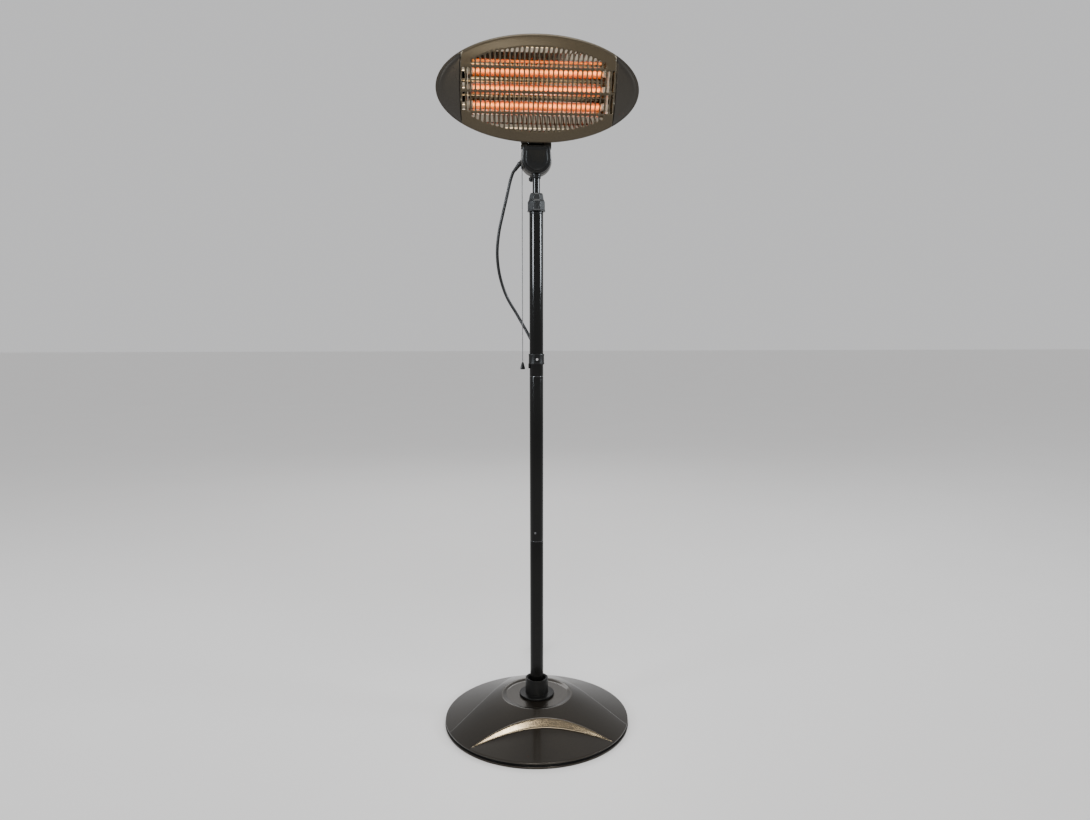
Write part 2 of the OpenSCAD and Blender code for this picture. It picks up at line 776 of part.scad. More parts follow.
module plug_body() {
    color(black) along(plug_start, plug_dir) difference() {
        union() {
            cylinder(r1 = 5, r2 = 7.5, h = 26);
            translate([0, 0, 26]) cylinder(r1 = 9, r2 = 13, h = 14);
            translate([0, 0, 40]) cylinder(d = 37, h = 16);
        }
        translate([0, 0, 55]) difference() {
            cylinder(d = 33, h = 2);
            translate([0, 0, -1]) cylinder(d = 29, h = 4);
        }
    }
}

module plug_pins() {
    color("#c8c8ca") along(plug_start, plug_dir) for (side = [-1, 1])
        translate([0, side * 9.5, 56]) {
            cylinder(d = 4.8, h = 17.6);
            translate([0, 0, 17.6]) cylinder(d1 = 4.8, d2 = 3, h = 1.4);
        }
}

base_tray();
base_edge_ring();
base_weight();
base_cover();
base_spacer();
base_bolt();
base_washer();
base_collar();
pole_insert();
lower_tube();
lower_joint_sleeve();
middle_tube();
upper_joint_sleeve();
upper_tube();
pole_screws();
cable_clip();
cable_clip_screw();
lock_ferrule();
lock_collet();
height_lock_nut();
riser_tube();
riser_bush();
neck_socket();
neck_rear_shell();
neck_front_cover();
neck_screws();
neck_knob();
tilt_bolt();
tilt_nut();
cord_gland();
pull_switch();
terminal_block();
pull_eyelet();
pull_cord();
pull_knob();
head_bracket();
back_shell();
front_panel();
end_cap_left();
end_cap_right();
reflector();
heat_shield();
tube_holder_left();
tube_holder_right();
quartz_tube_1();
quartz_tube_2();
quartz_tube_3();
heating_coil_1();
heating_coil_2();
heating_coil_3();
ceramic_ends();
head_screws();
power_cord();
plug_body();
plug_pins();
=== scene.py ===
"""Electric terrace heater: camera, light, materials and the visible shapes, in metres.

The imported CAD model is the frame. Shapes that show get a smooth mesh of their own in the same
place; small and inner parts keep their CAD solid and get a material.
"""
from math import acos, atan2, ceil, cos, floor, hypot, pi, radians, sin, sqrt

import bmesh
import bpy
from mathutils import Matrix, Vector
from mathutils.geometry import delaunay_2d_cdt


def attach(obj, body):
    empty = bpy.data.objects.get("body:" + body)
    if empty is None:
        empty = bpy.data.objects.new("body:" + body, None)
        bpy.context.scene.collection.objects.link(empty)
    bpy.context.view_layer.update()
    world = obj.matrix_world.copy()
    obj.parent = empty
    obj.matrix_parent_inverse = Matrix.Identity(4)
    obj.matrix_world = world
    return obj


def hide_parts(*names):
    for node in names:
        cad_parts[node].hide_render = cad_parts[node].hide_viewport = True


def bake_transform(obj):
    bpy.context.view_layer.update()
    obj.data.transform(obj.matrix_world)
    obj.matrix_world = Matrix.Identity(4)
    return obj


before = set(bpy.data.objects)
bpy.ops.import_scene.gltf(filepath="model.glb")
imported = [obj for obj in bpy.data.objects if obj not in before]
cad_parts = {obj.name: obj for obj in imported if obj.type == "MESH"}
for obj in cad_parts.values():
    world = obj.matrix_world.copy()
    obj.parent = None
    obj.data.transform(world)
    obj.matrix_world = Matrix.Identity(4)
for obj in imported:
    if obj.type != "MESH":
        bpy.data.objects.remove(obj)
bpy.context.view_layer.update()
MM = 0.001

# ---- sizes that several shapes share, in millimetres unless they end in _m ----

RIM_R = 248
RIM_Z = 15
PLATEAU_R = 81
PLATEAU_Z = 74
SHOULDER_R = 96
SHOULDER_Z = 77.5
POLE_R = 18
HEAD_A = 250
HEAD_B = 125
HEAD_FRONT = -40
HEAD_RIM = -28
HEAD_CENTRE = 137
PANEL_HALF = 190
RIM_POINTS = 480
TUBE_PITCH = 39
TUBE_DEPTH = -12
TILT_AXIS = (0, 8.6, 1536)
TILT_REST = radians(22)
NECK_R = 37.3
NECK_BACK_R = 41.3
NECK_CENTRE_Z = 1499
NECK_TOP_Z = 1531
NECK_POINTS = 144

# ---- camera ----


def add_camera():
    azimuth, distance, height, pitch = radians(4.5), 2.1, 1.083, radians(6.15)
    aside = 0.0225  # the pole stands this far left of the view's middle
    data = bpy.data.cameras.new("camera")
    data.sensor_width = 36
    data.lens = 26.42
    data.clip_end = 60
    cam = bpy.data.objects.new("camera", data)
    bpy.context.collection.objects.link(cam)
    cam.location = (-distance * sin(azimuth), -distance * cos(azimuth), height)
    cam.rotation_euler = (pi / 2 - pitch, 0, -azimuth - atan2(aside, distance))
    bpy.context.scene.camera = cam


add_camera()

# ---- materials ----


def graph(name):
    """A new material, its shader node and a function that adds nodes."""
    mat = bpy.data.materials.new(name)
    mat.use_nodes = True
    nodes, links = mat.node_tree.nodes, mat.node_tree.links
    shader = nodes["Principled BSDF"]

    def add(kind, inputs=None, **settings):
        node = nodes.new(kind)
        for key, value in settings.items():
            setattr(node, key, value)
        for key, value in (inputs or {}).items():
            if isinstance(value, bpy.types.NodeSocket):
                links.new(value, node.inputs[key])
            else:
                node.inputs[key].default_value = value
        return node

    return mat, shader, add, links


def noise(add, scale, detail=3.0, stretch=(1, 1, 1)):
    """Noise in the object's own space, in cycles per metre, optionally stretched."""
    place = add("ShaderNodeTexCoord")
    mapping = add("ShaderNodeMapping", {"Vector": place.outputs["Object"], "Scale": stretch})
    inputs = {"Vector": mapping.outputs[0], "Scale": scale, "Detail": detail}
    return add("ShaderNodeTexNoise", inputs).outputs["Fac"]


def spread(add, value, low, high):
    return add("ShaderNodeMapRange", {"Value": value, "From Min": 0.3, "From Max": 0.7, "To Min": low,
                                      "To Max": high}).outputs[0]


def surface(name, colour, vary=0.12, rough=(0.3, 0.4), metallic=0.0, cloud=9, grain=900, bump=0.02,
            stretch=(1, 1, 1), coat=0.0, coat_rough=0.05, specular=0.5, depth=0.0002):
    """Coloured surface with slow colour variation, a fine grain in the bump, and uneven roughness."""
    mat, shader, add, links = graph(name)
    slow = noise(add, cloud, 4.0, stretch)
    fine = noise(add, grain, 2.0, stretch)
    dark = [c * (1 - vary) for c in colour] + [1]
    light = [min(1, c * (1 + vary)) for c in colour] + [1]
    mixed = add("ShaderNodeMix", {"Factor": slow}, data_type="RGBA")
    mixed.inputs[6].default_value = dark
    mixed.inputs[7].default_value = light
    links.new(mixed.outputs[2], shader.inputs["Base Color"])
    links.new(spread(add, fine, *rough), shader.inputs["Roughness"])
    shader.inputs["Metallic"].default_value = metallic
    shader.inputs["Specular IOR Level"].default_value = specular
    shader.inputs["Coat Weight"].default_value = coat
    shader.inputs["Coat Roughness"].default_value = coat_rough
    relief = add("ShaderNodeBump", {"Height": fine, "Strength": bump, "Distance": depth})
    links.new(relief.outputs[0], shader.inputs["Normal"])
    return mat


def flake_paint(name, colour, rough, coat, flake=0.35):
    """Metallic lacquer: fine bright flakes in a dark ground under a clear coat."""
    mat, shader, add, links = graph(name)
    place = add("ShaderNodeTexCoord")
    flakes = add("ShaderNodeTexVoronoi", {"Vector": place.outputs["Object"], "Scale": 1400.0})
    slow = noise(add, 6, 3.0)
    span = {"Value": flakes.outputs["Color"], "To Min": 1 - flake, "To Max": 1 + flake}
    glint = add("ShaderNodeMapRange", span)
    cloud = spread(add, slow, 0.93, 1.07)
    both = add("ShaderNodeMath", {0: glint.outputs[0], 1: cloud}, operation="MULTIPLY")
    tint = add("ShaderNodeVectorMath", {0: colour, "Scale": both.outputs[0]}, operation="SCALE")
    links.new(tint.outputs[0], shader.inputs["Base Color"])
    links.new(spread(add, slow, rough, rough + 0.05), shader.inputs["Roughness"])
    shader.inputs["Metallic"].default_value = 0.75
    shader.inputs["Coat Weight"].default_value = coat
    shader.inputs["Coat Roughness"].default_value = 0.1
    peel = add("ShaderNodeBump", {"Height": noise(add, 160, 2.0), "Strength": 0.03, "Distance": 0.0004})
    links.new(peel.outputs[0], shader.inputs["Normal"])
    return mat


def glowing(name, colour, strength, alpha=1.0, vary=0.3, scale=60):
    """Hot surface whose glow is a little uneven along its length."""
    mat, shader, add, links = graph(name)
    uneven = spread(add, noise(add, scale, 2.0), 1 - vary, 1 + vary)
    power = add("ShaderNodeMath", {0: uneven, 1: strength}, operation="MULTIPLY")
    shader.inputs["Base Color"].default_value = (*colour, 1)
    shader.inputs["Emission Color"].default_value = (*colour, 1)
    links.new(power.outputs[0], shader.inputs["Emission Strength"])
    shader.inputs["Roughness"].default_value = 0.15
    shader.inputs["Alpha"].default_value = alpha
    return mat


def braid(name, colour):
    """Twisted cord: slanting strands that wind round a thin vertical line."""
    mat, shader, add, links = graph(name)
    place = add("ShaderNodeTexCoord")
    turned = add("ShaderNodeMapping", {"Vector": place.outputs["Object"], "Rotation": (0, radians(35), 0)})
    strands = add("ShaderNodeTexWave", {"Vector": turned.outputs[0], "Scale": 260.0, "Distortion": 1.0})
    mixed = add("ShaderNodeMix", {"Factor": strands.outputs["Fac"]}, data_type="RGBA")
    mixed.inputs[6].default_value = [c * 0.75 for c in colour] + [1]
    mixed.inputs[7].default_value = [*colour, 1]
    links.new(mixed.outputs[2], shader.inputs["Base Color"])
    shader.inputs["Roughness"].default_value = 0.7
    relief = add("ShaderNodeBump", {"Height": strands.outputs["Fac"], "Strength": 0.5, "Distance": 0.0003})
    links.new(relief.outputs[0], shader.inputs["Normal"])
    return mat


M = {
    "bronze_head": flake_paint("bronze_head", (0.056, 0.0435, 0.026), 0.38, 0.15),
    "bronze_cap": flake_paint("bronze_cap", (0.024, 0.02, 0.0145), 0.26, 0.6),
    "bronze_base": flake_paint("bronze_base", (0.021, 0.0165, 0.011), 0.3, 0.4),
    # bronze_step_painted_highlight: a much lighter, streaked copy of the base's bronze paint for the
    # scallops' steep steps; this is a painted highlight that stands in for the light these steps reflect
    "bronze_step_painted_highlight": surface("bronze_step_painted_highlight", (0.15, 0.12, 0.078), 0.2, (0.13, 0.19), 0.9, cloud=40, grain=400,
                           bump=0.05, stretch=(1, 1, 0.08), coat=0.1),
    "black_gloss": surface("black_gloss", (0.003, 0.003, 0.0027), 0.2, (0.13, 0.15), grain=300, bump=0.002,
                           specular=0.18),
    "black_plastic": surface("black_plastic", (0.004, 0.004, 0.0038), 0.2, (0.32, 0.42), bump=0.1, grain=1600,
                             specular=0.15),
    "grey_plastic": surface("grey_plastic", (0.0085, 0.0088, 0.0088), 0.15, (0.32, 0.42), bump=0.08,
                            grain=1500, specular=0.22),
    "neck_side": surface("neck_side", (0.022, 0.019, 0.015), 0.15, (0.26, 0.34), bump=0.06, grain=1500,
                         specular=0.45),
    "rubber": surface("rubber", (0.006, 0.006, 0.006), 0.2, (0.42, 0.55), bump=0.15, grain=1200,
                      specular=0.3),
    "steel": surface("steel", (0.42, 0.42, 0.43), 0.1, (0.25, 0.4), 1.0, grain=500, stretch=(1, 1, 8)),
    "dark_steel": surface("dark_steel", (0.16, 0.16, 0.165), 0.1, (0.18, 0.26), 1.0, grain=500),
    "bright_steel": surface("bright_steel", (0.75, 0.75, 0.76), 0.06, (0.12, 0.2), 1.0, grain=500),
    "reflector": surface("reflector", (0.42, 0.36, 0.28), 0.08, (0.06, 0.12), 1.0, grain=240, cloud=30,
                         stretch=(0.2, 1, 1)),
    "ceramic": surface("ceramic", (0.5, 0.43, 0.33), 0.1, (0.45, 0.6), bump=0.2, grain=700),
    "holder": surface("holder", (0.6, 0.53, 0.43), 0.08, (0.35, 0.45), 0.6, grain=500),
    "cement": surface("cement", (0.4, 0.39, 0.37), 0.25, (0.8, 0.95), bump=0.5, grain=300, cloud=40),
    "white_plastic": surface("white_plastic", (0.74, 0.71, 0.64), 0.05, (0.35, 0.5), bump=0.1),
    "cord": braid("cord", (0.1, 0.1, 0.1)),
    "quartz": glowing("quartz", (1.0, 0.25, 0.012), 0.75, alpha=0.35),
    "hot_wire": glowing("hot_wire", (1.0, 0.6, 0.2), 4.0, vary=0.25, scale=40),
}

# ---- mesh helpers ----


def place(name, mesh, material, body, replaces=(), slot=None, smooth=35):
    """Links a mesh made in millimetres as a piece that rides on a body."""
    mesh.transform(Matrix.Scale(MM, 4))
    if material:
        mesh.materials.append(M[material])
    mesh.shade_smooth()
    mesh.set_sharp_from_angle(angle=radians(smooth))
    obj = bpy.data.objects.new(name, mesh)
    bpy.context.collection.objects.link(obj)
    if body:
        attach(obj, body)
    if replaces:
        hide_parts(*replaces)
    return obj


def mesh_of(name, verts, faces):
    mesh = bpy.data.meshes.new(name)
    mesh.from_pydata([tuple(v) for v in verts], [], faces)
    bm = bmesh.new()
    bm.from_mesh(mesh)
    bmesh.ops.recalc_face_normals(bm, faces=bm.faces)
    bm.to_mesh(mesh)
    bm.free()
    return mesh


def loft(name, rings, close_ends=True, loop=False):
    """Joins rings of equally many points; loop joins the last ring to the first."""
    n = len(rings[0])
    verts = [p for ring in rings for p in ring]
    last = len(rings) if loop else len(rings) - 1
    faces = []
    for i in range(last):
        a, b = i * n, (i + 1) % len(rings) * n
        faces += [(a + k, a + (k + 1) % n, b + (k + 1) % n, b + k) for k in range(n)]
    if close_ends and not loop:
        faces.append(tuple(range(n))[::-1])
        faces.append(tuple(range((len(rings) - 1) * n, len(rings) * n)))
    return mesh_of(name, verts, faces)


def rounded(points, radius, steps=3):
    """The polygon with its corners cut by small arcs; a point may give its own radius as a third value."""
    out = []
    n = len(points)
    for i, p in enumerate(points):
        here = Vector(p[:2])
        r = p[2] if len(p) > 2 else radius
        back, ahead = Vector(points[i - 1][:2]) - here, Vector(points[(i + 1) % n][:2]) - here
        reach = min(r, back.length * 0.45, ahead.length * 0.45)
        if reach < 0.02:
            out.append(here)
            continue
        a, b = here + back.normalized() * reach, here + ahead.normalized() * reach
        out += [a.lerp(here, t).lerp(here.lerp(b, t), t) for t in (k / steps for k in range(steps + 1))]
    return out


def lathe(name, profile, radius=0.6, segments=96, turn=0.0):
    """Turns a closed outline of (radius, height) points about Z, with rounded corners."""
    line = rounded(profile, radius) if radius else [Vector(p[:2]) for p in profile]
    rings = [[(p.x * cos(a), p.x * sin(a), p.y) for p in line]
             for a in (turn + 2 * pi * k / segments for k in range(segments))]
    return loft(name, rings, loop=True)


def tube_profile(outer, inner, z0, z1):
    return [(inner, z0), (outer, z0), (outer, z1), (inner, z1)]


def aimed(mesh, start, direction):
    """Moves a mesh drawn along +Z so that it starts at a point and runs in a direction."""
    turn = Vector((0, 0, 1)).rotation_difference(Vector(direction)).to_matrix().to_4x4()
    mesh.transform(Matrix.Translation(start) @ turn)
    return mesh


def into_head(mesh):
    """From the head's own frame, in millimetres, to the row frame."""
    mesh.transform(Matrix.Translation(TILT_AXIS) @ Matrix.Rotation(TILT_REST, 4, "X"))
    return mesh


def sweep(name, points, radius, sides=16):
    """Round tube along points, closed at both ends."""
    rings = []
    side = Vector((1, 0, 0))
    for i, p in enumerate(points):
        along = (points[min(i + 1, len(points) - 1)] - points[max(i - 1, 0)]).normalized()
        side = (side - along * side.dot(along)).normalized()
        up = along.cross(side)
        turns = [2 * pi * k / sides for k in range(sides)]
        rings.append([p + radius * (cos(t) * side + sin(t) * up) for t in turns])
    return loft(name, rings)


def bevelled(obj, width, segments=2, angle=30):
    mod = obj.modifiers.new("bevel", "BEVEL")
    mod.width = width * MM
    mod.segments = segments
    mod.limit_method = "ANGLE"
    mod.angle_limit = radians(angle)
    mod.harden_normals = True
    return obj


def block(name, x, y, z):
    """Box between the given pairs of limits."""
    rings = [[(x[0], y[0], h), (x[1], y[0], h), (x[1], y[1], h), (x[0], y[1], h)] for h in z]
    return loft(name, rings)


def joined(name, meshes):
    bm = bmesh.new()
    for mesh in meshes:
        bm.from_mesh(mesh)
        bpy.data.meshes.remove(mesh)
    out = bpy.data.meshes.new(name)
    bm.to_mesh(out)
    bm.free()
    return out


def paint(material, *nodes):
    for node in nodes:
        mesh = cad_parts[node].data
        if not mesh.materials:
            mesh.materials.append(M[material])
        for k in range(len(mesh.materials)):
            mesh.materials[k] = M[material]


# ---- cords ----

GLAND_START = Vector((-39.5, 12, 1494))
LEAD_ROUTE = [
    (-54, 12, 1475), (-59, 12, 1468), (-66, 12, 1447), (-74, 12, 1412), (-86, 13, 1362), (-96, 18, 1315),
    (-100, 28, 1262), (-93, 42, 1208), (-75, 54, 1155), (-46, 54, 1105), (-16, 38, 1050), (0, 28.5, 1012),
    (1, 27.3, 980), (2, 27, 910), (2, 27, 830), (2, 27, 750), (2, 27, 670), (2, 27, 590), (2, 27, 510),
    (2, 27, 430), (2, 27, 350), (2, 27, 270), (2, 28, 205), (3, 34, 150), (4, 56, 107), (8, 101, 86),
    (13, 160, 60.5), (17, 205, 42), (20, 243, 26), (23, 285, 9.5), (26, 330, 4.5), (29, 368, 8),
    (32, 404, 17), (34, 430, 19)
]
PLUG_START = Vector((34, 430, 19))
PLUG_DIRECTION = Vector((0.0785, 0.997, 0))
PULL_X = -36
PULL_Y = 2
PULL_TOP = 1501
PULL_STEPS = 74


def curve(points, steps):
    """Catmull-Rom curve through the points."""
    p = [Vector(q) for q in points]
    out = []
    for i in range(len(p) - 1):
        a, b, c, d = p[max(i - 1, 0)], p[i], p[i + 1], p[min(i + 2, len(p) - 1)]
        for k in range(steps):
            s = k / steps
            out.append(0.5 * (2 * b + (c - a) * s + (2 * a - 5 * b + 4 * c - d) * s ** 2
                              + (3 * b - a - 3 * c + d) * s ** 3))
    return out + [p[-1]]


def add_lead(plug):
    line = curve(LEAD_ROUTE, 8)
    mesh = sweep("mains_lead", line, 4)
    lead = place("mains_lead", mesh, "rubber", None, ["power_cord"], "lead_rubber", 60)
    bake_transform(lead)


def add_pull_cord(knob):
    line = [Vector((PULL_X, PULL_Y, PULL_TOP - 7 * k)) for k in range(PULL_STEPS + 1)]
    mesh = sweep("pull_string", line, 1.0, 10)
    cord = place("pull_string", mesh, "cord", "pull", ["pull_cord"], "cord_fabric", 60)


# ---- base ----


def soft_max(a, b, blend):
    return (a + b + sqrt((a - b) ** 2 + blend ** 2)) / 2


def soft_min(a, b, blend):
    return -soft_max(-a, -b, blend)


def panel_height(r):
    return RIM_Z + (RIM_R - r) * 0.265


def dome_height(r):
    along = (RIM_R - r) / (RIM_R - SHOULDER_R)
    if along < 1:
        return RIM_Z + (SHOULDER_Z - RIM_Z) * along + 12 * along * (1 - along)
    dip = min(1, (SHOULDER_R - r) / (SHOULDER_R - PLATEAU_R))
    return SHOULDER_Z - (SHOULDER_Z - PLATEAU_Z) * (1 - cos(pi * dip)) / 2


def step_height(r, angle):
    """Height of the steep step of the scallop that faces this direction."""
    out, side = r * cos(angle), r * sin(angle)
    return 67.3 - (out - 124.5 - side ** 2 / 1650) / 0.39


def crossing(test, low, high):
    """Where test turns from False to True between low and high, or high if it never does."""
    if not test(high):
        return high
    for _ in range(30):
        middle = (low + high) / 2
        low, high = (low, middle) if test(middle) else (middle, high)
    return high


def cover_line(angle):
    """(radius, height) points of the cover's outer face along one direction, from the middle to the rim."""
    away = (angle + pi / 2 + pi / 3) % (2 * pi / 3) - pi / 3
    last = RIM_R - 0.4
    top = crossing(lambda r: step_height(r, away) < dome_height(r), 100, last)
    foot = crossing(lambda r: step_height(r, away) < panel_height(r), top, last)
    radii = [7, 30, 50, 67, 74, 78] + [80 + 1.5 * k for k in range(13)]
    radii += [98 + (top - 2 - 98) * k / 24 for k in range(1, 25)]
    radii += [top - d for d in (1.4, 0.9, 0.5, 0.2)]
    radii += [top + (foot - top) * (k + 0.5) / 10 for k in range(10)]
    radii += [foot + d * (RIM_R - foot) / 8 for d in (0.06, 0.16, 0.35, 0.65, 1)]
    radii += [foot + (RIM_R - foot) * (0.125 + 0.875 * k / 20) for k in range(1, 21)]
    out = []
    for r in radii:
        raised = soft_min(dome_height(r), step_height(r, away), 3)
        out.append((r, soft_max(panel_height(r), raised, 0.5)))
    return out


FLANK_RINGS = range(46, 57)
ROLLED_RIM = ((0.6, 14.7), (0.95, 14.0), (1.0, 13.0), (1.0, 11.6), (0.7, 11.1), (0.1, 11.0), (-1.0, 11.4),
              (-3.0, 12.4))


def add_base_cover():
    """Pressed sheet whose mesh follows the scallops' edges, rolled under at the rim and hollow below."""
    spokes = 720
    angles = [2 * pi * k / spokes for k in range(spokes)]
    lines = [cover_line(a) for a in angles]
    for line in lines:
        line += [(RIM_R + dr, z) for dr, z in ROLLED_RIM]
        line += [(line[j][0] - 1.5, line[j][1] - 1.6) for j in (66, 57, 46, 34, 24, 12, 3)]
        line.append((line[0][0], line[0][1] - 1.6))
    rings = []
    for samples in zip(*lines):
        rings.append([(r * cos(a), r * sin(a), z) for (r, z), a in zip(samples, angles)])
    mesh = loft("cover", rings, loop=True)
    mesh.materials.append(M["bronze_base"])
    mesh.materials.append(M["bronze_step_painted_highlight"])
    # faces on the scallops' steep steps take the lighter bronze copy: a painted highlight
    for j in FLANK_RINGS:
        for k in range(spokes):
            face = mesh.polygons[j * spokes + k]
            face.material_index = 1 if lines[k][57][0] - lines[k][46][0] > 0.6 else 0
    place("cover", mesh, None, "stand", ["base_cover"], "bronze_paint", 60)


def add_base_edge():
    profile = [(6, 10), (44, 10), (52, 0, 2), (250, 0, 1.2), (250, 5, 1.2), (248, 5), (248, 2), (54, 2),
               (46, 12), (6, 12)]
    tray = lathe("tray", profile, 0.5, 240)
    place("tray", tray, "bronze_base", "stand", ["base_tray"], "bronze_paint")
    profile = [(240, 2.1), (246.5, 2.1), (246.5, 5), (245, 6), (245, 8), (246.5, 9), (246.5, 10.9),
               (240, 10.9)]
    edge = lathe("edge_band", profile, 0.5, 240)
    place("edge_band", edge, "black_plastic", "stand", ["base_edge_ring"], "black_plastic")


def add_collar():
    top = PLATEAU_Z + 48
    profile = [(5.2, 74), (47, 74, 1), (47, 80, 1.6), (30.9, 80.3, 0.6), (30.5, top, 1.6), (26.5, top, 1),
               (25.4, top - 1.4, 1), (24, top - 1.8, 0.8), (22, top - 10, 1), (18.4, top - 10, 1), (18.4, 84),
               (5.2, 84)]
    mesh = lathe("collar", profile, 0.6, 128)
    place("collar", mesh, "black_plastic", "stand", ["base_collar"], "black_plastic")


# ---- pole ----


def add_pole():
    tubes = (("pole_lower", "lower_tube", 84, 504.4), ("pole_middle", "middle_tube", 505.6, 945.4),
             ("pole_upper", "upper_tube", 946.6, 1362))
    for name, node, z0, z1 in tubes:
        mesh = lathe(name, tube_profile(POLE_R, POLE_R - 1.2, z0, z1), 1.1, 128)
        place(name, mesh, "black_gloss", "stand", [node], "black_paint")
    for name, node, z, below, above in (("sleeve_lower", "lower_joint_sleeve", 505, 40, 42),
                                        ("sleeve_upper", "upper_joint_sleeve", 946, 40, 64)):
        profile = [(14.8, z - below), (16.7, z - below), (16.7, z - 0.5), (17.5, z - 0.5, 0.3),
                   (17.5, z + 0.5, 0.3), (16.7, z + 0.5), (16.7, z + above), (14.8, z + above)]
        place(name, lathe(name, profile, 0.1, 128), "dark_steel", "stand", [node], "steel")
    riser = lathe("riser_pipe", tube_profile(9.5, 8.3, 1022, 1478), 0.4, 96)
    place("riser_pipe", riser, "black_gloss", "riser", ["riser_tube"], "black_paint")


def add_clip():
    """Ring on the upper tube with a raised front boss, a side hook and a hook for the lead behind."""
    low, high = 977, 1005
    profile = [(18.15, low), (20.3, low, 0.8), (20.8, low + 2, 0.8), (20.8, low + 4), (20.2, low + 4.6),
               (20.2, high - 4.6), (20.8, high - 4), (20.8, high - 2, 0.8), (20.3, high, 0.8), (18.15, high)]
    ring = lathe("clip_ring", profile, 0.4, 128)
    boss = lathe("boss", [(4.6, 0), (6.8, 0), (6.0, 2.2, 0.8), (4.6, 2.2, 0.5)], 0.3, 48)
    aimed(boss, (0, -18.6, 991), (0, -1, 0))
    angles = [radians(118 + k * 304 / 40) for k in range(41)]
    outline = [(5.5 * cos(a), 5.5 * sin(a)) for a in angles]
    outline += [(7.6 * cos(a), 7.6 * sin(a)) for a in reversed(angles)]
    hook = loft("hook", [[(1 + x, 27.3 + y, z) for x, y in outline] for z in (low + 6.2, low + 21.8)])
    outline = ((-21.3, -4.4), (-18.2, -4.8), (-18.2, 0.8), (-21.3, 0.4))
    side = loft("side_hook", [[(x, y, z) for x, y in outline] for z in (low - 9.8, low + 1.5)])
    corners = ((-7.2, 0), (0, -8.4), (7.2, 0), (0, 8.4))
    steps = ((-19, 1), (-20.5, 1), (-20.9, 0.9))
    diamond = loft("diamond", [[(x * k, y, 991 + z * k) for x, z in corners] for y, k in steps])
    place("clip_diamond", diamond, "black_gloss", "stand", (), "black_plastic")
    mesh = joined("clip", [ring, boss, hook, side])
    bevelled(place("clip", mesh, "black_plastic", "stand", ["cable_clip"], "black_plastic"), 0.5)


def add_lock():
    """Octagonal grip with a flared foot and the ferrule under it; the collet inside it keeps its CAD solid.
    """
    z = 1369.3
    eighth = pi / 8
    profile = [(15.3, z), (24.5, z), (24.5, z + 2.6), (23.2, z + 4.6), (23.2, z + 25), (21.0, z + 28),
               (20.2, z + 29.4), (18.2, z + 42), (16.2, z + 46), (10.2, z + 46), (10.2, z + 36),
               (12.4, z + 35), (15.3, z + 23)]
    mesh = lathe("nut", profile, 0, 8, eighth)
    nut = place("nut", mesh, "grey_plastic", "lock_nut", ["height_lock_nut"], "grey_plastic", 20)
    bevelled(nut, 0.9, 3, 15)
    ribs = []
    for k in range(8):
        angle = pi / 4 * k
        for shift in (-5.5, 5.5):
            x = 23.2 * cos(eighth)
            rib = lathe("rib", [(0.05, 0), (0.75, 0), (0.75, 19), (0.05, 19)], 0.05, 10)
            rib.transform(Matrix.Rotation(angle, 4, "Z") @ Matrix.Translation((x - 0.35, shift, z + 5.5)))
            ribs.append(rib)
    place("nut_ribs", joined("nut_ribs", ribs), "grey_plastic", "lock_nut", (), "grey_plastic", 60)
    profile = [(10, 1340), (16.75, 1340), (16.75, 1362), (18, 1362), (18, 1369, 1.2), (15, 1369), (15, 1391),
               (10, 1391)]
    ferrule = lathe("ferrule", profile, 0.5)
    place("ferrule", ferrule, "black_plastic", "stand", ["lock_ferrule"], "black_plastic")


# ---- neck ----


def neck_outline(inset, top=NECK_TOP_Z, radius=NECK_R):
    r = radius - inset
    arc = [(r * cos(a), NECK_CENTRE_Z + r * sin(a)) for a in (-pi * k / 48 for k in range(49))]
    return [(r - 2, top - inset)] + arc + [(2 - r, top - inset)]


def star(outline, centre, count):
    """The outline sampled at even angles round a centre that sees all of it."""
    out = []
    n = len(outline)
    for k in range(count):
        a = 2 * pi * k / count
        d = Vector((cos(a), sin(a)))
        best = None
        for i in range(n):
            p, q = Vector(outline[i]) - Vector(centre), Vector(outline[(i + 1) % n]) - Vector(centre)
            edge = q - p
            cross = d.x * edge.y - d.y * edge.x
            if abs(cross) < 1e-9:
                continue
            t = (p.x * edge.y - p.y * edge.x) / cross
            s = (p.x * d.y - p.y * d.x) / cross
            if t > 0 and -1e-6 <= s <= 1 + 1e-6 and (best is None or t < best):
                best = t
        out.append((centre[0] + best * d.x, centre[1] + best * d.y))
    return out


def neck_rings(sections, radius, corner=5):
    """Rings of the neck's outline; each section gives inset and depth."""
    rings = []
    for inset, y in sections:
        line = rounded([(*p, corner) if i in (0, 50) else (*p, 0) for i, p in
                        enumerate(neck_outline(inset, NECK_TOP_Z, radius))], 0, 5)
        rings.append([(x, y, z) for x, z in star([tuple(p) for p in line], (0, 1494), NECK_POINTS)])
    return rings


